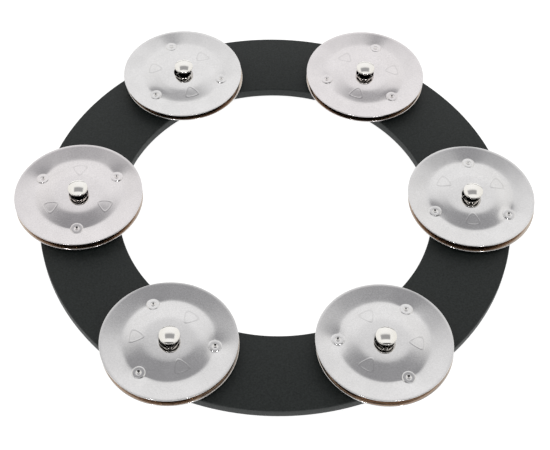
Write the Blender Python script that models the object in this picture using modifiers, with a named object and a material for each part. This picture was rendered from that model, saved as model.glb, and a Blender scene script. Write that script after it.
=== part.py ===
"""Flat ring tambourine.

A moulded ring carries six stations. At each one a headed pin stands in the ring and
holds a spacer washer and a pair of pressed steel jingles, which are loose on it.
Units are metres, +Z is up, and the ring lies on z = 0 with its centre at the origin.
"""

import math

import bpy

# ---------------------------------------------------------------- driving dimensions
STATIONS = 6
TOUCH_GAP = 0.0001  # left between pieces that rest on each other

RING_OUTER_RADIUS = 0.0762
RING_INNER_RADIUS = 0.0508
RING_THICKNESS = 0.0033
RING_EDGE_RADIUS = 0.0004
RING_HOLE_RADIUS = 0.0022
COUNTERBORE_RADIUS = 0.0052
COUNTERBORE_DEPTH = 0.0015

JINGLE_RADIUS = 0.0205
JINGLE_SHEET = 0.00035
JINGLE_HOLE_RADIUS = 0.0030
VALLEY_RADIUS = 0.0139  # the pressed crease between the flared brim and the crown
BRIM_RISE = 0.00070  # of the rim above the crease
CROWN_FLAT_RADIUS = 0.0078  # the crown is flat out to here, then falls to the crease
CROWN_RISE = 0.00080  # of the crown's flat above the crease
DENT_DEPTH = 0.00040  # the pair stands apart on dents this deep

PIN_SHANK_RADIUS = 0.0020
PIN_HEAD_RADIUS = 0.00315
PIN_HEAD_WALL = 0.0006
PIN_DOME_RISE = 0.0009
PIN_PEEN_RADIUS = 0.0029
PIN_PEEN_THICKNESS = 0.0005
PIN_EDGE_RADIUS = 0.0002
RATTLE = 0.0020  # free travel between the upper jingle and the pin's head

SPACER_RADIUS = 0.0050
SPACER_THICKNESS = 0.0010
RETAINER_RADIUS = 0.0047
RETAINER_THICKNESS = 0.0006
WASHER_HOLE_RADIUS = 0.0023

# ---------------------------------------------------------------- sizes worked out
PITCH_RADIUS = (RING_OUTER_RADIUS + RING_INNER_RADIUS) / 2
SPACER_BASE = RING_THICKNESS + TOUCH_GAP
SPACER_TOP = SPACER_BASE + SPACER_THICKNESS
PEEN_BASE = TOUCH_GAP
PEEN_TOP = PEEN_BASE + PIN_PEEN_THICKNESS
RETAINER_BASE = PEEN_TOP + TOUCH_GAP

# ---------------------------------------------------------------- mesh fineness
RING_STEPS = 80
JINGLE_STEPS = 32
SMALL_STEPS = 16
CORNER_STEPS = 2
SHARP_ANGLE = math.radians(35)


# ---------------------------------------------------------------- outlines, as (r, z) points
def arc(centre_r, centre_z, radius, start_deg, end_deg, steps=CORNER_STEPS):
    """Points of a circular arc, counted anticlockwise from +r."""
    points = []
    for i in range(steps + 1):
        angle = math.radians(start_deg + (end_deg - start_deg) * i / steps)
        points.append((centre_r + radius * math.cos(angle), centre_z + radius * math.sin(angle)))
    return points


def rounded_band(inner, outer, base, top, edge):
    """The section of a flat ring with rounded edges, clockwise from the top's inner edge."""
    return (
        arc(inner + edge, top - edge, edge, 180, 90)
        + arc(outer - edge, top - edge, edge, 90, 0)
        + arc(outer - edge, base + edge, edge, 0, -90)
        + arc(inner + edge, base + edge, edge, -90, -180)
    )


def plain_band(inner, outer, base, top):
    """The section of a washer with square edges."""
    return [(inner, top), (outer, top), (outer, base), (inner, base)]


def jingle_section():
    """A pressed disc, standing on z = 0 on the tips of its dents."""
    under = [
        (JINGLE_HOLE_RADIUS, DENT_DEPTH + CROWN_RISE),
        (CROWN_FLAT_RADIUS, DENT_DEPTH + CROWN_RISE),
        (VALLEY_RADIUS, DENT_DEPTH),
        (JINGLE_RADIUS, DENT_DEPTH + BRIM_RISE),
    ]
    over = [(radius, height + JINGLE_SHEET) for radius, height in under]
    return over + under[::-1]


def pin_section(head_base):
    """A domed head, a shank down through the ring, and the peened end below it."""
    head_edge = head_base + PIN_HEAD_WALL
    dome_radius = (PIN_HEAD_RADIUS**2 + PIN_DOME_RISE**2) / (2 * PIN_DOME_RISE)
    dome_centre = head_edge + PIN_DOME_RISE - dome_radius
    edge_angle = math.degrees(math.acos(PIN_HEAD_RADIUS / dome_radius))
    return (
        arc(0, dome_centre, dome_radius, 90, edge_angle, steps=3)
        + arc(PIN_HEAD_RADIUS - PIN_EDGE_RADIUS, head_base + PIN_EDGE_RADIUS, PIN_EDGE_RADIUS, 0, -90)
        + [
            (PIN_SHANK_RADIUS, head_base),
            (PIN_SHANK_RADIUS, PEEN_TOP),
            (PIN_PEEN_RADIUS, PEEN_TOP),
            (PIN_PEEN_RADIUS, PEEN_BASE + PIN_EDGE_RADIUS),
            (PIN_PEEN_RADIUS - PIN_EDGE_RADIUS, PEEN_BASE),
            (0, PEEN_BASE),
        ]
    )


# ---------------------------------------------------------------- scene helpers
def clear_scene():
    for obj in list(bpy.data.objects):
        bpy.data.objects.remove(obj, do_unlink=True)


def new_collection(name):
    collection = bpy.data.collections.new(name)
    bpy.context.scene.collection.children.link(collection)
    return collection


def new_material(name, colour, roughness, metallic):
    material = bpy.data.materials.new(name)
    material.use_nodes = True
    shader = material.node_tree.nodes["Principled BSDF"]
    shader.inputs["Base Color"].default_value = (*colour, 1)
    shader.inputs["Roughness"].default_value = roughness
    shader.inputs["Metallic"].default_value = metallic
    return material


def turned_object(name, section, steps, collection, closed=True):
    """An object whose mesh is the section swept round Z by a Screw modifier."""
    mesh = bpy.data.meshes.new(name)
    count = len(section)
    edges = [(i, (i + 1) % count) for i in range(count if closed else count - 1)]
    mesh.from_pydata([(r, 0, z) for r, z in section], edges, [])
    obj = bpy.data.objects.new(name, mesh)
    collection.objects.link(obj)
    screw = obj.modifiers.new("turn", "SCREW")
    screw.steps = steps
    screw.render_steps = steps
    screw.use_merge_vertices = True
    screw.merge_threshold = 1e-7
    return obj


def apply_modifiers(obj):
    """Replaces the object's mesh by its evaluated one, shaded smooth with sharp edges kept."""
    graph = bpy.context.evaluated_depsgraph_get()
    mesh = bpy.data.meshes.new_from_object(obj.evaluated_get(graph))
    mesh.name = obj.data.name
    obj.modifiers.clear()
    obj.data = mesh
    mesh.shade_smooth()
    mesh.set_sharp_from_angle(angle=SHARP_ANGLE)


def turned_mesh(name, section, steps, material, collection, closed=True):
    """A turned piece's finished mesh, for several objects to share."""
    pattern = turned_object(name, section, steps, collection, closed)
    apply_modifiers(pattern)
    mesh = pattern.data
    mesh.materials.append(material)
    bpy.data.objects.remove(pattern, do_unlink=True)
    return mesh


def place(name, mesh, station, height, collection, turned_over=False):
    """One copy of a station's piece, with its origin on the pin's axis."""
    obj = bpy.data.objects.new(name, mesh)
    collection.objects.link(obj)
    obj.parent = station
    obj.location = (0, 0, height)
    if turned_over:
        obj.rotation_euler = (math.pi, 0, 0)
    return obj


def new_cutter(name, section, collection):
    cutter = turned_object(name, section, SMALL_STEPS, collection, closed=False)
    cutter.hide_render = True
    cutter.display_type = "WIRE"
    return cutter


# ---------------------------------------------------------------- the parts
def make_stations(collection):
    """An empty on each pin's axis, at the level that the ring lies on."""
    stations = []
    for i in range(STATIONS):
        angle = 2 * math.pi * i / STATIONS
        station = bpy.data.objects.new(f"station_{i + 1}", None)
        station.location = (PITCH_RADIUS * math.cos(angle), PITCH_RADIUS * math.sin(angle), 0)
        station.empty_display_size = JINGLE_RADIUS / 2
        collection.objects.link(station)
        stations.append(station)
    return stations


def make_ring(stations, parts, cutters, material):
    """The flat ring, bored for each pin and counterbored below for its peened end."""
    section = rounded_band(
        RING_INNER_RADIUS, RING_OUTER_RADIUS, 0, RING_THICKNESS, RING_EDGE_RADIUS
    )
    ring = turned_object("ring", section, RING_STEPS, parts)
    over = RING_THICKNESS  # the cutters run this far past both faces
    bore_section = [
        (0, RING_THICKNESS + over),
        (RING_HOLE_RADIUS, RING_THICKNESS + over),
        (RING_HOLE_RADIUS, COUNTERBORE_DEPTH),
        (COUNTERBORE_RADIUS, COUNTERBORE_DEPTH),
        (COUNTERBORE_RADIUS, -over),
        (0, -over),
    ]
    for number, station in enumerate(stations, start=1):
        cutter = new_cutter(f"bore_cutter_{number}", bore_section, cutters)
        cutter.parent = station
        cut = ring.modifiers.new(f"bore_{number}", "BOOLEAN")
        cut.operation = "DIFFERENCE"
        cut.solver = "EXACT"
        cut.object = cutter
    bpy.context.view_layer.update()
    apply_modifiers(ring)
    ring.data.materials.clear()
    ring.data.materials.append(material)
    return ring


def main():
    clear_scene()
    parts = new_collection("tambourine")
    cutters = new_collection("cutters")

    black_plastic = new_material("black_plastic", (0.025, 0.029, 0.028), 0.55, 0.0)
    jingle_steel = new_material("jingle_steel", (0.78, 0.77, 0.76), 0.22, 1.0)
    pin_nickel = new_material("pin_nickel", (0.80, 0.78, 0.74), 0.06, 1.0)
    washer_steel = new_material("washer_steel", (0.60, 0.60, 0.60), 0.35, 1.0)

    stations = make_stations(parts)
    make_ring(stations, parts, cutters, black_plastic)

    # Heights of the stack on each pin, from the ring up.
    jingle_rise = DENT_DEPTH + CROWN_RISE + JINGLE_SHEET
    lower_origin = SPACER_TOP + TOUCH_GAP + jingle_rise
    upper_origin = lower_origin + TOUCH_GAP
    head_base = upper_origin + jingle_rise + RATTLE

    spacer = turned_mesh(
        "spacer_washer",
        plain_band(WASHER_HOLE_RADIUS, SPACER_RADIUS, 0, SPACER_THICKNESS),
        SMALL_STEPS,
        washer_steel,
        parts,
    )
    retainer = turned_mesh(
        "retaining_washer",
        plain_band(WASHER_HOLE_RADIUS, RETAINER_RADIUS, 0, RETAINER_THICKNESS),
        SMALL_STEPS,
        washer_steel,
        parts,
    )
    jingle = turned_mesh("jingle", jingle_section(), JINGLE_STEPS, jingle_steel, parts)
    pin = turned_mesh(
        "pin", pin_section(head_base), SMALL_STEPS, pin_nickel, parts, closed=False
    )

    for number, station in enumerate(stations, start=1):
        place(f"pin_{number}", pin, station, 0, parts)
        place(f"retaining_washer_{number}", retainer, station, RETAINER_BASE, parts)
        place(f"spacer_washer_{number}", spacer, station, SPACER_BASE, parts)
        place(f"lower_jingle_{number}", jingle, station, lower_origin, parts, turned_over=True)
        place(f"upper_jingle_{number}", jingle, station, upper_origin, parts)


main()
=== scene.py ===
"""Looks for the flat ring tambourine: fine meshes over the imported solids, materials and light.

Lengths are in metres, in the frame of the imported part: the ring lies on z = 0, +Z is up.
"""

import math

import bpy
import numpy as np
from mathutils import Matrix, Vector


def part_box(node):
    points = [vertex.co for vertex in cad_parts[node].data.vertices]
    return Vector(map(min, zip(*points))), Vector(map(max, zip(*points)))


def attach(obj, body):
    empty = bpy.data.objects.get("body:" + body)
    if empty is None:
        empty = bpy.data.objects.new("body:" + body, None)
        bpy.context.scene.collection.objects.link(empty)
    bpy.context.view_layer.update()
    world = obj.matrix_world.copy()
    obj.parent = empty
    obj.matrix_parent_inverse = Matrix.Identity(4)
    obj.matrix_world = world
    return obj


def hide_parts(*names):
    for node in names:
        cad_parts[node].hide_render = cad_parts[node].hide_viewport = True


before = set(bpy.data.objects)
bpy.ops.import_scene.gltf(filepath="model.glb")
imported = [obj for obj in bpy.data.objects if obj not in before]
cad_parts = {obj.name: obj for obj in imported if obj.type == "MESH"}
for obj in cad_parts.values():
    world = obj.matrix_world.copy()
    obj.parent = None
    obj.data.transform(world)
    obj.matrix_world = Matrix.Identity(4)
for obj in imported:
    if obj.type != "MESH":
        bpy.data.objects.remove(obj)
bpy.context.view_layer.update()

# ------------------------------------------------------------ sizes read from the frame
ring_low, ring_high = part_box("ring")
spacer_low, spacer_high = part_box("spacer_washer_1")
retainer_low, retainer_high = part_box("retaining_washer_1")
pin_low, pin_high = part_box("pin_1")
upper_low, upper_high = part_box("upper_jingle_1")
lower_low, lower_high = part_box("lower_jingle_1")

STATIONS = sum(name.startswith("pin_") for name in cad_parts)
RING_OUTER = ring_high.x
RING_TOP = ring_high.z
PITCH_RADIUS = (upper_low.x + upper_high.x) / 2
RING_INNER = 2 * PITCH_RADIUS - RING_OUTER
JINGLE_RADIUS = (upper_high.x - upper_low.x) / 2
HEAD_RADIUS = (pin_high.x - pin_low.x) / 2
SPACER_RADIUS = (spacer_high.x - spacer_low.x) / 2
RETAINER_RADIUS = (retainer_high.x - retainer_low.x) / 2

# ------------------------------------------------------------ sizes that boxes don't give
TOUCH_GAP = 0.0001  # between pieces that rest on each other

RING_EDGE = 0.0004
BORE_RADIUS = 0.0022
COUNTERBORE_RADIUS = 0.0052
COUNTERBORE_DEPTH = 0.0015

SHEET = 0.00035
JINGLE_HOLE = 0.0030
VALLEY_RADIUS = 0.0139  # of the pressed crease between the brim and the crown
BRIM_RISE = 0.00070
CROWN_FLAT_RADIUS = 0.0080
CROWN_RISE = 0.00080
CREASE_SOFTNESS = 0.00018
SHOULDER_SOFTNESS = 0.00010

DENTS = 3
DENT_DEPTH = 0.00040
DENT_CIRCLE = 0.0137
DENT_RADIUS = 0.0019
DENT_LEVEL = 0.00018  # of the dent's raised round above the crease
DENT_TILT = 0.06  # the slope of the round, which falls towards the rim
DENT_EDGE = 0.000045
PIT_RADIUS = 0.00085
PIT_SOFTNESS = 0.00005
HOLLOW_ANGLE = 0.25  # radians, either side of a dent
HOLLOW_INWARD = 0.0030
HOLLOW_DEPTH = 0.00032
JINGLE_MIDDLE = DENT_DEPTH + CROWN_RISE  # the height that a leaning jingle turns about

STAMP_CIRCLE = 0.0100
STAMP_SIZE = 0.0017
STAMP_ROUNDING = 0.0030
STAMP_LINE = 0.00026
STAMP_LINE_CORE = 0.3  # the share of the line that has its full depth
STAMP_DEPTH = 0.000020
RUBBED = (0.0050, 0.0075)  # the radii between which the face goes from polished to satin
HOLE_SHADE = (0.0070, 0.0120)  # the radii between which painted shade on the inner face fades from full round the hole to none

SHANK_RADIUS = 0.0020
HEAD_WALL = 0.0006
HEAD_EDGE = 0.00020
DOME_RISE = 0.0009
HEAD_BASE = pin_high.z - DOME_RISE - HEAD_WALL
PEEN_RADIUS = 0.0029
PEEN_EDGE = 0.0002
PEEN_TOP = retainer_low.z - TOUCH_GAP
WASHER_HOLE = 0.0023
WASHER_EDGE = 0.00012

# ------------------------------------------------------------ how the loose jingles happen to lie
LOWER_TURNS = (12.0, 75.0, 41.0, 100.0, 63.0, 22.0)  # degrees about the pin
UPPER_TURNS = (-32.6, -49.5, -10.6, 32.4, -7.1, 57.4)
# How far, in degrees, an upper jingle's axis leans towards +X and +Y.
UPPER_LEANS = ((0.0, -1.0), (0.0, -1.0), (0.0, -0.6), (0.0, -0.6), (0.8, 0.2), (0.4, 1.2))
# How far along X and Y its centre lies from the pin's axis.
UPPER_SHIFTS = (
    (-0.00028, 0.00042),
    (0.0, 0.0),
    (-0.00045, -0.00025),
    (0.0, 0.0),
    (-0.00024, 0.00008),
    (-0.00028, 0.0),
)
WARM_STATIONS = (2, 4)  # where the steel has a faint pink tint

# ------------------------------------------------------------ mesh fineness
RING_STEPS = 240
RING_CORNER_STEPS = 4
BORE_STEPS = 48
PIN_STEPS = 64
DOME_STEPS = 24
HEAD_EDGE_STEPS = 6
PEEN_EDGE_STEPS = 4
WASHER_STEPS = 48
WASHER_CORNER_STEPS = 2
RIM_STEPS = 8
COARSE_STEP = 0.0007  # along a jingle's radius, away from the dents
FINE_STEP = 0.00008  # along it, across the dents
COARSE_TURN = 0.05  # the same two round the jingle, in radians
FINE_TURN = 0.0058
SHARP_ANGLE = math.radians(40)


# ------------------------------------------------------------ mesh helpers
def new_object(name, data):
    """An object for a mesh, a light or a camera, in the scene."""
    obj = bpy.data.objects.new(name, data)
    bpy.context.scene.collection.objects.link(obj)
    return obj


def arc(centre_r, centre_z, radius, start_deg, end_deg, steps):
    """Points of a circular arc in the (r, z) plane, counted anticlockwise from +r."""
    angles = np.radians(np.linspace(start_deg, end_deg, steps + 1))
    return [(centre_r + radius * math.cos(a), centre_z + radius * math.sin(a)) for a in angles]


def band(inner, outer, base, top, edge, steps):
    """The section of a flat ring with rounded edges, clockwise from the top's inner edge."""
    return (
        arc(inner + edge, top - edge, edge, 180, 90, steps)
        + arc(outer - edge, top - edge, edge, 90, 0, steps)
        + arc(outer - edge, base + edge, edge, 0, -90, steps)
        + arc(inner + edge, base + edge, edge, -90, -180, steps)
    )


def turned_mesh(name, section, steps, closed=True):
    """The section swept round Z, smooth except at its sharp corners."""
    count = len(section)
    edges = [(i, (i + 1) % count) for i in range(count if closed else count - 1)]
    mesh = bpy.data.meshes.new(name)
    mesh.from_pydata([(r, 0, z) for r, z in section], edges, [])
    obj = new_object(name, mesh)
    screw = obj.modifiers.new("turn", "SCREW")
    screw.steps = steps
    screw.render_steps = steps
    screw.use_merge_vertices = True
    screw.merge_threshold = 1e-7
    return baked_mesh(obj)


def baked_mesh(obj):
    """The object's evaluated mesh, smooth with sharp edges kept. The object is removed."""
    graph = bpy.context.evaluated_depsgraph_get()
    mesh = bpy.data.meshes.new_from_object(obj.evaluated_get(graph))
    mesh.name = obj.name
    bpy.data.objects.remove(obj, do_unlink=True)
    mesh.shade_smooth()
    mesh.set_sharp_from_angle(angle=SHARP_ANGLE)
    return mesh


def station_centre(number):
    """The axis of a station's pin where it meets z = 0."""
    angle = 2 * math.pi * (number - 1) / STATIONS
    return Vector((PITCH_RADIUS * math.cos(angle), PITCH_RADIUS * math.sin(angle), 0))


# ------------------------------------------------------------ the jingle's shape
def smooth_max(first, second, softness):
    """The larger of two values, with the corner where they cross rounded off."""
    return (first + second + np.sqrt((first - second) ** 2 + softness**2)) / 2


def jingle_height(radius):
    """Height of the pressed sheet above its crease: a flat crown with a cone round it, and a brim."""
    cone = CROWN_RISE * (VALLEY_RADIUS - radius) / (VALLEY_RADIUS - CROWN_FLAT_RADIUS)
    crown = -smooth_max(-cone, -CROWN_RISE, SHOULDER_SOFTNESS)
    brim = BRIM_RISE * (radius - VALLEY_RADIUS) / (JINGLE_RADIUS - VALLEY_RADIUS)
    return smooth_max(crown, brim, CREASE_SOFTNESS)


def dented_height(radius, angle):
    """The same with three punched dents: each a small raised round with a deep pit in its middle.

    The punch also draws the sheet down along the dent's own radius, out to the rim.
    """
    steepest = 50  # keeps the exponential below within range
    height = jingle_height(radius)
    outward = (JINGLE_RADIUS - radius) / (JINGLE_RADIUS - DENT_CIRCLE)
    inward = 1 - (DENT_CIRCLE - radius) / HOLLOW_INWARD
    drawn = np.clip(np.minimum(outward, inward), 0, 1)
    for i in range(DENTS):
        dent_angle = 2 * math.pi * i / DENTS
        aside = (angle - dent_angle + math.pi) % (2 * math.pi) - math.pi
        height = height - HOLLOW_DEPTH * drawn * np.exp(-((aside / HOLLOW_ANGLE) ** 2))
        away_x = radius * np.cos(angle) - DENT_CIRCLE * math.cos(dent_angle)
        away_y = radius * np.sin(angle) - DENT_CIRCLE * math.sin(dent_angle)
        away = np.hypot(away_x, away_y)
        share = 1 / (1 + np.exp(np.minimum((away - DENT_RADIUS) / DENT_EDGE, steepest)))
        raised_round = DENT_LEVEL - DENT_TILT * (radius - DENT_CIRCLE)
        height = height * (1 - share) + raised_round * share
        pit = (DENT_LEVEL + DENT_DEPTH) * (1 - away / PIT_RADIUS)
        height -= smooth_max(pit, 0, PIT_SOFTNESS)
    return height


def graded(start, end, coarse, fine, fine_start, fine_end):
    """Numbers from start to end, close together between fine_start and fine_end."""
    first = np.linspace(start, fine_start, max(2, round((fine_start - start) / coarse) + 1))
    middle = np.linspace(fine_start, fine_end, round((fine_end - fine_start) / fine) + 1)
    last = np.linspace(fine_end, end, max(2, round((end - fine_end) / coarse) + 1))
    return np.concatenate([first, middle[1:-1], last])


def jingle_mesh(steel, gap_shade_steel):
    """A pressed disc that stands on z = 0 on its dent tips. Its concave side, below, faces its mate."""
    half = SHEET / 2
    inmost = JINGLE_HOLE + half
    outmost = JINGLE_RADIUS - half
    reach = DENT_RADIUS + 5 * DENT_EDGE  # past the dent's soft edge
    spread = reach / DENT_CIRCLE
    sector = math.pi / DENTS
    radii = graded(inmost, outmost, COARSE_STEP, FINE_STEP, DENT_CIRCLE - reach, DENT_CIRCLE + reach)
    one_dent = graded(-sector, sector, COARSE_TURN, FINE_TURN, -spread, spread)[:-1]
    angles = np.concatenate([one_dent + 2 * math.pi * i / DENTS for i in range(DENTS)])

    # One section of (radius, height above the sheet's middle), over the top, round the rim and back.
    rim = arc(outmost, 0, half, 90, -90, RIM_STEPS)
    eye = arc(inmost, 0, half, 270, 90, RIM_STEPS)
    section = [(r, half) for r in radii[:-1]] + rim
    section += [(r, -half) for r in radii[-2:0:-2]] + eye[:-1]
    section_r = np.array([p[0] for p in section])
    section_z = np.array([p[1] for p in section])

    radius, angle = np.meshgrid(section_r, angles, indexing="ij")
    height = DENT_DEPTH + half + dented_height(radius, angle)
    height += section_z[:, None]
    points = np.stack([radius * np.cos(angle), radius * np.sin(angle), height], -1).reshape(-1, 3)

    rows, columns = radius.shape
    row, column = np.meshgrid(np.arange(rows), np.arange(columns), indexing="ij")
    next_row, next_column = (row + 1) % rows, (column + 1) % columns
    corners = [
        row * columns + column,
        next_row * columns + column,
        next_row * columns + next_column,
        row * columns + next_column,
    ]
    faces = np.stack(corners, -1).reshape(-1, 4)

    mesh = bpy.data.meshes.new("jingle")
    mesh.from_pydata(points.tolist(), [], faces.tolist())
    mesh.materials.append(steel)
    mesh.materials.append(gap_shade_steel)
    # The faces between the pair take the steel with painted shade and reflection.
    underside = section_z < -0.9 * half
    below = underside & np.roll(underside, -1)
    mesh.polygons.foreach_set("material_index", np.repeat(below, columns).astype(np.int32))
    flat = np.stack([radius * np.cos(angle), radius * np.sin(angle)], -1).reshape(-1, 2)
    plan = mesh.uv_layers.new(name="plan")
    plan.data.foreach_set("uv", (flat[faces.ravel()] / (2 * JINGLE_RADIUS) + 0.5).ravel())
    mesh.shade_smooth()
    mesh.validate()
    return mesh


# ------------------------------------------------------------ materials
class Nodes:
    """A material's or world's node tree, with short ways to add and link nodes."""

    def __init__(self, tree):
        self.tree = tree
        self.tree.nodes.clear()

    def add(self, kind, inputs=None, **settings):
        """A new node. An input given as a socket is linked, and any other is set."""
        node = self.tree.nodes.new(kind)
        for name, value in settings.items():
            setattr(node, name, value)
        for name, value in (inputs or {}).items():
            if isinstance(value, bpy.types.NodeSocket):
                self.tree.links.new(value, node.inputs[name])
            else:
                node.inputs[name].default_value = value
        return node

    def math(self, operation, *values):
        return self.add("ShaderNodeMath", dict(enumerate(values)), operation=operation).outputs[0]

    def spread(self, value, low, high, to_low, to_high):
        """Maps value from one range to another, clamped."""
        inputs = {"Value": value, "From Min": low, "From Max": high, "To Min": to_low, "To Max": to_high}
        return self.add("ShaderNodeMapRange", inputs).outputs["Result"]

    def mix(self, factor, first, second):
        node = self.add("ShaderNodeMix", data_type="RGBA")
        sockets = (node.inputs[0], node.inputs[6], node.inputs[7])
        for socket, value in zip(sockets, (factor, first, second)):
            if isinstance(value, bpy.types.NodeSocket):
                self.tree.links.new(value, socket)
            else:
                socket.default_value = value
        return node.outputs[2]

    def degrees(self, angle):
        return self.math("MULTIPLY", angle, 180 / math.pi)

    def noise(self, vector, scale, detail):
        inputs = {"Vector": vector, "Scale": scale, "Detail": detail}
        return self.add("ShaderNodeTexNoise", inputs).outputs["Fac"]

    def bump(self, height, distance, strength, normal=None):
        inputs = {"Height": height, "Distance": distance, "Strength": strength}
        if normal is not None:
            inputs["Normal"] = normal
        return self.add("ShaderNodeBump", inputs).outputs["Normal"]


def rgb(*values):
    """A colour with full alpha, as sockets take it."""
    return (*values, 1.0)


# ------------------------------------------------------------ colours, linear, as (dark, light)
PLASTIC_BLACK = rgb(0.0008, 0.0036, 0.0032), rgb(0.0122, 0.0168, 0.0160)
COOL_STEEL = rgb(0.705, 0.696, 0.696), rgb(0.800, 0.790, 0.790)
WARM_STEEL = rgb(0.718, 0.688, 0.693), rgb(0.815, 0.782, 0.787)
# Painted shade and reflection: the faces between a pair of jingles take a darker, warmer copy of the
# steel, for the dim tan light in the gap.
GAP_SHADE_STEEL = rgb(0.55, 0.47, 0.41), rgb(0.60, 0.52, 0.45)
NICKEL = rgb(0.86, 0.84, 0.80), rgb(0.93, 0.91, 0.88)
BRIGHT_WASHER = rgb(0.50, 0.50, 0.49), rgb(0.60, 0.60, 0.59)
# Painted shade: the spacer, seen down the holes, is made nearly black so the holes look dark.
SHADED_SPACER_STEEL = rgb(0.045, 0.042, 0.040), rgb(0.060, 0.056, 0.052)
# Painted shade in the stamped grooves, which darkens their lines.
STAMP_SHADE_COLOUR = rgb(0.42, 0.41, 0.41)
STAMP_SHADE = 0.22  # how much of that painted shade the stamped lines take
# Painted shade round the hole, on the faces between a pair of jingles.
HOLE_SHADE_COLOUR = rgb(0.09, 0.08, 0.07)

# ------------------------------------------------------------ textures
PLASTIC_GRAIN = 2600  # texture scales are per metre
PLASTIC_SPECKLE = 1900
STEEL_CLOUD = 160
STEEL_GRAIN = 2200
CLOUD_SHARE = 0.4  # of the steel's mottle, the grain being the rest
GRAIN_SHARE = 0.6
NICKEL_WEAR = 900
LATHE_RINGS = 900.0
LATHE_WAVER = 0.6

NOISE_RANGE = (0.3, 0.7)  # where nearly all of a noise's values lie
MOTTLE_RANGE = (0.36, 0.64)

PLASTIC_ROUGHNESS = (0.46, 0.62)
PLASTIC_IOR = 1.46
STEEL_ROUGHNESS = (0.10, 0.16)
POLISHED_SHARE = 0.3  # of the steel's roughness, close to the hole
NICKEL_ROUGHNESS = (0.08, 0.12)
WASHER_ROUGHNESS = (0.28, 0.40)


def new_material(name):
    """A material and its node tree, which starts empty."""
    material = bpy.data.materials.new(name)
    material.use_nodes = True
    return material, Nodes(material.node_tree)


def object_place(nodes):
    """The place on the piece, in its own metres."""
    return nodes.add("ShaderNodeTexCoord").outputs["Object"]


def finish_material(nodes, inputs):
    """Ends a material's tree with a Principled shader."""
    shader = nodes.add("ShaderNodeBsdfPrincipled", inputs)
    nodes.add("ShaderNodeOutputMaterial", {"Surface": shader.outputs["BSDF"]})


def black_plastic():
    """Moulded plastic: nearly black, with a fine matte grain."""
    material, nodes = new_material("black_plastic_fine")
    place = object_place(nodes)
    grain = nodes.noise(place, PLASTIC_GRAIN, detail=3)
    speckle = nodes.spread(nodes.noise(place, PLASTIC_SPECKLE, detail=2), *NOISE_RANGE, 0, 1)
    finish_material(
        nodes,
        {
            "Base Color": nodes.mix(speckle, *PLASTIC_BLACK),
            "Roughness": nodes.spread(grain, *NOISE_RANGE, *PLASTIC_ROUGHNESS),
            "Normal": nodes.bump(grain, distance=0.00006, strength=0.35),
            "IOR": PLASTIC_IOR,
        },
    )
    return material


def plan_place(nodes):
    """Radius and angle about the jingle's own axis, read from its plan UV layer."""
    plan = nodes.add("ShaderNodeUVMap", uv_map="plan").outputs["UV"]
    axes = nodes.add("ShaderNodeSeparateXYZ", {"Vector": plan}).outputs
    across = nodes.math("MULTIPLY", nodes.math("SUBTRACT", axes["X"], 0.5), 2 * JINGLE_RADIUS)
    along = nodes.math("MULTIPLY", nodes.math("SUBTRACT", axes["Y"], 0.5), 2 * JINGLE_RADIUS)
    across_squared = nodes.math("MULTIPLY", across, across)
    along_squared = nodes.math("MULTIPLY", along, along)
    radius = nodes.math("SQRT", nodes.math("ADD", across_squared, along_squared))
    return radius, nodes.math("ARCTAN2", along, across)


def stamp_height(nodes, radius, angle):
    """A shallow rounded triangle outline, stamped three times round the crown between the dents."""
    third = 2 * math.pi / DENTS
    wrapped = nodes.math("SUBTRACT", nodes.math("FLOORED_MODULO", angle, third), third / 2)
    along = nodes.math("MULTIPLY", radius, nodes.math("COSINE", wrapped))
    outward = nodes.math("SUBTRACT", along, STAMP_CIRCLE)
    sideways = nodes.math("MULTIPLY", radius, nodes.math("SINE", wrapped))
    distance = outward
    for turn in (math.radians(120), math.radians(240)):
        side = nodes.math(
            "ADD",
            nodes.math("MULTIPLY", outward, math.cos(turn)),
            nodes.math("MULTIPLY", sideways, math.sin(turn)),
        )
        distance = nodes.math("SMOOTH_MAX", distance, side, STAMP_ROUNDING)
    from_line = nodes.math("ABSOLUTE", nodes.math("SUBTRACT", distance, STAMP_SIZE))
    return nodes.spread(from_line, STAMP_LINE_CORE * STAMP_LINE, STAMP_LINE, 1, 0)


def jingle_steel(name, colours, stamped):
    """Pressed sheet with a satin face, polished round the hole: faint clouds and a very fine grain.

    A stamped face carries the three outlines, with painted shade in their lines. The other one has
    painted shade that darkens it round the hole.
    """
    material, nodes = new_material(name)
    place = object_place(nodes)
    cloud = nodes.noise(place, STEEL_CLOUD, detail=4)
    fine = nodes.noise(place, STEEL_GRAIN, detail=3)
    mottle = nodes.math(
        "ADD", nodes.math("MULTIPLY", cloud, CLOUD_SHARE), nodes.math("MULTIPLY", fine, GRAIN_SHARE)
    )
    colour = nodes.mix(nodes.spread(mottle, *MOTTLE_RANGE, 0, 1), *colours)
    normal = nodes.bump(fine, distance=0.00001, strength=0.25)
    radius, angle = plan_place(nodes)
    if stamped:
        line = stamp_height(nodes, radius, angle)
        normal = nodes.bump(line, STAMP_DEPTH, strength=1.0, normal=normal)
        # Painted shade: the stamped lines are darkened.
        colour = nodes.mix(nodes.math("MULTIPLY", line, STAMP_SHADE), colour, STAMP_SHADE_COLOUR)
    else:
        # Painted shade: the inner face darkens towards the hole.
        hole_shade = nodes.spread(radius, *HOLE_SHADE, 1, 0)
        colour = nodes.mix(hole_shade, colour, HOLE_SHADE_COLOUR)
    satin = nodes.spread(fine, *NOISE_RANGE, *STEEL_ROUGHNESS)
    rubbed = nodes.spread(radius, *RUBBED, POLISHED_SHARE, 1)
    finish_material(
        nodes,
        {
            "Base Color": colour,
            "Metallic": 1.0,
            "Roughness": nodes.math("MULTIPLY", satin, rubbed),
            "Normal": normal,
        },
    )
    return material


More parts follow.
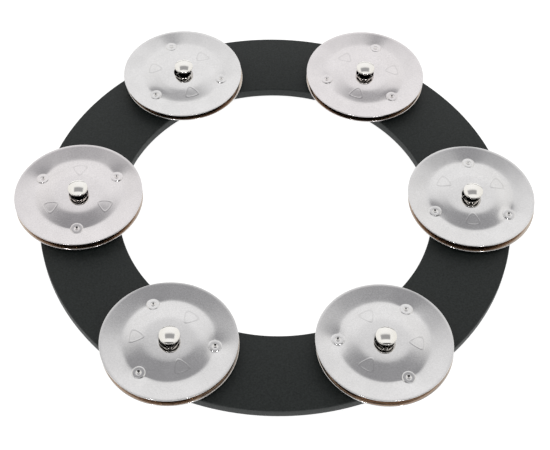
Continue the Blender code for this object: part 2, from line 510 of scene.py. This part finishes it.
def pin_nickel():
    """Polished nickel plate."""
    material, nodes = new_material("pin_nickel_fine")
    wear = nodes.noise(object_place(nodes), NICKEL_WEAR, detail=3)
    finish_material(
        nodes,
        {
            "Base Color": nodes.mix(wear, *NICKEL),
            "Metallic": 1.0,
            "Roughness": nodes.spread(wear, *NOISE_RANGE, *NICKEL_ROUGHNESS),
            "Normal": nodes.bump(wear, distance=0.00002, strength=0.15),
        },
    )
    return material


def washer_steel(name, colours):
    """Plain turned steel, with the fine rings of the lathe tool."""
    material, nodes = new_material(name)
    wave = nodes.add(
        "ShaderNodeTexWave",
        {"Vector": object_place(nodes), "Scale": LATHE_RINGS, "Distortion": LATHE_WAVER},
        wave_type="RINGS",
        rings_direction="Z",
    )
    rings = wave.outputs["Fac"]
    finish_material(
        nodes,
        {
            "Base Color": nodes.mix(rings, *colours),
            "Metallic": 1.0,
            "Roughness": nodes.spread(rings, 0, 1, *WASHER_ROUGHNESS),
            "Normal": nodes.bump(rings, distance=0.00001, strength=0.3),
        },
    )
    return material


# ------------------------------------------------------------ pieces
def settle(piece, body, node):
    """Hands a finished piece to the frame: its body and what it stands for."""
    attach(piece, body)
    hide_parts(node)


def make_ring():
    """The flat ring, bored for each pin and counterbored below for its peened end."""
    material = black_plastic()
    section = band(RING_INNER, RING_OUTER, 0, RING_TOP, RING_EDGE, RING_CORNER_STEPS)
    ring = new_object("ring_fine", turned_mesh("ring_fine", section, RING_STEPS))
    over = RING_TOP  # the cutters run this far past both faces
    bore = [
        (0, RING_TOP + over),
        (BORE_RADIUS, RING_TOP + over),
        (BORE_RADIUS, COUNTERBORE_DEPTH),
        (COUNTERBORE_RADIUS, COUNTERBORE_DEPTH),
        (COUNTERBORE_RADIUS, -over),
        (0, -over),
    ]
    bore_mesh = turned_mesh("bore_cutter", bore, BORE_STEPS, closed=False)
    cutters = []
    for number in range(1, STATIONS + 1):
        cutter = new_object(f"bore_cutter_{number}", bore_mesh)
        cutter.location = station_centre(number)
        cutters.append(cutter)
        cut = ring.modifiers.new(f"bore_{number}", "BOOLEAN")
        cut.operation = "DIFFERENCE"
        cut.object = cutter
    bpy.context.view_layer.update()
    mesh = baked_mesh(ring)
    for cutter in cutters:
        bpy.data.objects.remove(cutter, do_unlink=True)
    mesh.materials.clear()
    mesh.materials.append(material)
    settle(new_object("ring_moulded", mesh), "frame", "ring")


def pin_mesh(material):
    """A domed head with a softened edge, the shank, and a peened end."""
    wall = HEAD_BASE + HEAD_WALL
    dome_radius = (HEAD_RADIUS**2 + DOME_RISE**2) / (2 * DOME_RISE)
    dome_centre = wall + DOME_RISE - dome_radius
    dome_end = HEAD_RADIUS - HEAD_EDGE * 0.4  # where the dome gives way to its rounded edge
    edge_centre = HEAD_RADIUS - HEAD_EDGE
    end_angle = math.degrees(math.acos(dome_end / dome_radius))
    section = arc(0, dome_centre, dome_radius, 90, end_angle, DOME_STEPS)
    section += arc(edge_centre, wall - HEAD_EDGE * 0.7, HEAD_EDGE, 50, 0, HEAD_EDGE_STEPS)
    section += arc(edge_centre, HEAD_BASE + HEAD_EDGE, HEAD_EDGE, 0, -90, HEAD_EDGE_STEPS)
    section += [
        (SHANK_RADIUS, HEAD_BASE),
        (SHANK_RADIUS, PEEN_TOP),
        (PEEN_RADIUS, PEEN_TOP),
    ]
    section += arc(PEEN_RADIUS - PEEN_EDGE, pin_low.z + PEEN_EDGE, PEEN_EDGE, 0, -90, PEEN_EDGE_STEPS)
    section.append((0, pin_low.z))
    mesh = turned_mesh("pin_polished", section, PIN_STEPS, closed=False)
    mesh.materials.append(material)
    return mesh


def washer_mesh(name, outer, low, high, material):
    """A flat washer that stands on z = 0."""
    section = band(WASHER_HOLE, outer, 0, high.z - low.z, WASHER_EDGE, WASHER_CORNER_STEPS)
    mesh = turned_mesh(name, section, WASHER_STEPS)
    mesh.materials.append(material)
    return mesh


def place_at(mesh, name, number, height, shift=(0, 0)):
    """A piece at a height on a station's axis, or a little off it."""
    piece = new_object(name, mesh)
    piece.location = station_centre(number) + Vector((*shift, height))
    return piece


def turned_copy(mesh, turn, lean=(0, 0), over=False):
    """A copy of a jingle turned on its axis and leaning a little, or turned over."""
    copy = mesh.copy()
    half_turn = Matrix.Rotation(math.pi if over else 0, 4, "X")
    spin = Matrix.Rotation(math.radians(turn), 4, "Z")
    lean_x = Matrix.Rotation(math.radians(lean[0]), 4, "Y")
    lean_y = Matrix.Rotation(math.radians(-lean[1]), 4, "X")
    raised = Matrix.Translation((0, 0, JINGLE_MIDDLE))
    copy.transform(raised @ lean_x @ lean_y @ raised.inverted() @ spin @ half_turn)
    return copy


def make_stations():
    """The pin, its two washers and the pair of jingles at each station."""
    nickel = pin_nickel()
    bright_washer = washer_steel("washer_steel_bright", BRIGHT_WASHER)
    # The spacer's steel is nearly black: painted shade for the holes.
    shaded_spacer_steel = washer_steel("washer_steel_painted_shade", SHADED_SPACER_STEEL)
    cool = jingle_steel("jingle_steel_cool", COOL_STEEL, True)
    warm = jingle_steel("jingle_steel_warm", WARM_STEEL, True)
    # The inner faces: steel with painted shade and reflection, darker still round the hole.
    inner = jingle_steel("jingle_steel_gap_shade", GAP_SHADE_STEEL, False)

    pin = pin_mesh(nickel)
    spacer = washer_mesh("spacer_fine", SPACER_RADIUS, spacer_low, spacer_high, shaded_spacer_steel)
    retainer = washer_mesh("retainer_fine", RETAINER_RADIUS, retainer_low, retainer_high, bright_washer)
    cool_jingle = jingle_mesh(cool, inner)
    warm_jingle = jingle_mesh(warm, inner)
    upper_origin = upper_low.z - DENT_DEPTH
    lower_origin = lower_high.z + DENT_DEPTH

    for number in range(1, STATIONS + 1):
        pin_piece = place_at(pin, f"pin_polished_{number}", number, 0)
        settle(pin_piece, "frame", f"pin_{number}")

        retainer_piece = place_at(retainer, f"retainer_turned_{number}", number, retainer_low.z)
        settle(retainer_piece, "frame", f"retaining_washer_{number}")

        spacer_piece = place_at(spacer, f"spacer_turned_{number}", number, spacer_low.z)
        settle(spacer_piece, f"spacer_{number}", f"spacer_washer_{number}")

        jingle = warm_jingle if number in WARM_STATIONS else cool_jingle
        under = turned_copy(jingle, LOWER_TURNS[number - 1], over=True)
        lower = place_at(under, f"lower_pressed_{number}", number, lower_origin)
        settle(lower, f"lower_jingle_{number}", f"lower_jingle_{number}")

        over = turned_copy(jingle, UPPER_TURNS[number - 1], UPPER_LEANS[number - 1])
        shift = UPPER_SHIFTS[number - 1]
        upper = place_at(over, f"upper_pressed_{number}", number, upper_origin, shift)
        settle(upper, f"upper_jingle_{number}", f"upper_jingle_{number}")


# ------------------------------------------------------------ studio
FLOOR_REACH = 6.0
FLOOR_DROP = 0.0004  # below the ring's underside
FLOOR_GREY = rgb(0.5, 0.5, 0.5)
FLOOR_ROUGHNESS = 0.9
FLOOR_GLOW = 0.85

TENT_WHITE = rgb(1.0, 1.0, 1.0)
TENT_CREAM = rgb(0.92, 0.91, 0.88)
PANEL_GREY = rgb(0.36, 0.36, 0.37)
OPENING_DARK = rgb(0.02, 0.02, 0.02)

# Directions in the tent, in degrees. The over-angle runs up from the far horizon at 0, through the
# zenith at 90, down to the horizon behind the camera at 180. The side angle runs out from that arc.
PANEL_START = ((44, 0.0), (52, 0.10), (57, 0.28), (60, 0.62), (64, 0.92), (68, 1.0))
PANEL_END = (88, 94)
PANEL_SIDE = (22, 27)
OPENING_START = (110, 114)
OPENING_END = (148, 156)
OPENING_SIDE = (50, 70)
TENT_SIDE = (10, 50)  # where the tent goes from white to cream
HORIZON = (2, 6)  # the elevations between which the dark horizon ends

LAMPS = {"left_lamp": (-0.35, -0.80, 0.62), "right_lamp": (0.35, -0.80, 0.62)}
LAMP_DISTANCE = 1.2
LAMP_SIZE = 0.12
LAMP_POWER = 1.2

CAMERA_ELEVATION = math.radians(52.61)
CAMERA_AZIMUTH = math.radians(-2.11)
CAMERA_ROLL = math.radians(2.03)
CAMERA_TARGET = Vector((-0.00025, -0.00663, 0))
CAMERA_DISTANCE = 0.38097
LENS = 76.9
SENSOR_WIDTH = 36.0
CLIP_START = 0.01


def make_floor():
    """A lit white table top, which shows no shadow."""
    mesh = bpy.data.meshes.new("floor")
    signs = ((-1, -1), (1, -1), (1, 1), (-1, 1))
    corners = [(x * FLOOR_REACH, y * FLOOR_REACH, 0) for x, y in signs]
    mesh.from_pydata(corners, [], [(0, 1, 2, 3)])
    floor = new_object("floor", mesh)
    floor.location.z = -FLOOR_DROP
    material, nodes = new_material("floor_white")
    finish_material(
        nodes,
        {
            "Base Color": FLOOR_GREY,
            "Roughness": FLOOR_ROUGHNESS,
            "Emission Color": TENT_WHITE,
            "Emission Strength": FLOOR_GLOW,
        },
    )
    mesh.materials.append(material)


def ramp(nodes, value, points):
    """A value read off a line drawn through (input, output) points."""
    curve = nodes.add("ShaderNodeFloatCurve")
    first, last = points[0][0], points[-1][0]
    line = curve.mapping.curves[0]
    while len(line.points) < len(points):
        line.points.new(0.5, 0.5)
    for point, (place, height) in zip(line.points, points):
        point.location = ((place - first) / (last - first), height)
        point.handle_type = "VECTOR"
    curve.mapping.update()
    nodes.tree.links.new(nodes.spread(value, first, last, 0, 1), curve.inputs["Value"])
    return curve.outputs["Value"]


def make_sky():
    """A white tent with a grey panel overhead and a dark opening on the camera's side."""
    world = bpy.data.worlds.new("studio")
    bpy.context.scene.world = world
    world.use_nodes = True
    nodes = Nodes(world.node_tree)
    direction = nodes.add("ShaderNodeTexCoord").outputs["Generated"]
    axes = nodes.add("ShaderNodeSeparateXYZ", {"Vector": direction}).outputs
    over = nodes.degrees(nodes.math("ARCTAN2", axes["Z"], axes["Y"]))
    side = nodes.degrees(nodes.math("ARCSINE", nodes.math("ABSOLUTE", axes["X"])))
    height = nodes.degrees(nodes.math("ARCSINE", axes["Z"]))

    panel_end = nodes.spread(over, *PANEL_END, 1, 0)
    panel_rows = nodes.math("MULTIPLY", ramp(nodes, over, PANEL_START), panel_end)
    panel = nodes.math("MULTIPLY", panel_rows, nodes.spread(side, *PANEL_SIDE, 1, 0))
    opening_start = nodes.spread(over, *OPENING_START, 0, 1)
    opening_rows = nodes.math("MULTIPLY", opening_start, nodes.spread(over, *OPENING_END, 1, 0))
    opening = nodes.math("MULTIPLY", opening_rows, nodes.spread(side, *OPENING_SIDE, 1, 0))
    horizon = nodes.spread(height, *HORIZON, 1, 0)

    tent = nodes.mix(nodes.spread(side, *TENT_SIDE, 0, 1), TENT_WHITE, TENT_CREAM)
    with_panel = nodes.mix(panel, tent, PANEL_GREY)
    lit = nodes.mix(nodes.math("MAXIMUM", opening, horizon), with_panel, OPENING_DARK)
    seen = nodes.add("ShaderNodeLightPath").outputs["Is Camera Ray"]
    colour = nodes.mix(seen, lit, TENT_WHITE)
    background = nodes.add("ShaderNodeBackground", {"Color": colour, "Strength": 1.0})
    nodes.add("ShaderNodeOutputWorld", {"Surface": background.outputs["Background"]})


def make_lamp(name, direction):
    """A small soft light that shines on the ring from a direction."""
    light = bpy.data.lights.new(name, "AREA")
    light.shape = "DISK"
    light.size = LAMP_SIZE
    light.energy = LAMP_POWER
    lamp = new_object(name, light)
    toward = Vector(direction).normalized()
    lamp.location = toward * LAMP_DISTANCE
    lamp.rotation_euler = toward.to_track_quat("Z", "Y").to_euler()


def make_camera():
    """Looks down at the ring from the front, rolled a little."""
    level = math.cos(CAMERA_ELEVATION)
    back = Vector(
        (
            math.sin(CAMERA_AZIMUTH) * level,
            -math.cos(CAMERA_AZIMUTH) * level,
            math.sin(CAMERA_ELEVATION),
        )
    )
    camera = bpy.data.cameras.new("camera")
    camera.sensor_width = SENSOR_WIDTH
    camera.lens = LENS
    camera.clip_start = CLIP_START
    holder = new_object("camera", camera)
    place = Matrix.Translation(CAMERA_TARGET + back * CAMERA_DISTANCE)
    aim = (-back).to_track_quat("-Z", "Y").to_matrix().to_4x4()
    holder.matrix_world = place @ aim @ Matrix.Rotation(CAMERA_ROLL, 4, "Z")
    bpy.context.scene.camera = holder


make_ring()
make_stations()
make_floor()
make_sky()
for lamp_name, lamp_direction in LAMPS.items():
    make_lamp(lamp_name, lamp_direction)
make_camera()
bpy.context.scene.view_settings.view_transform = "Standard"
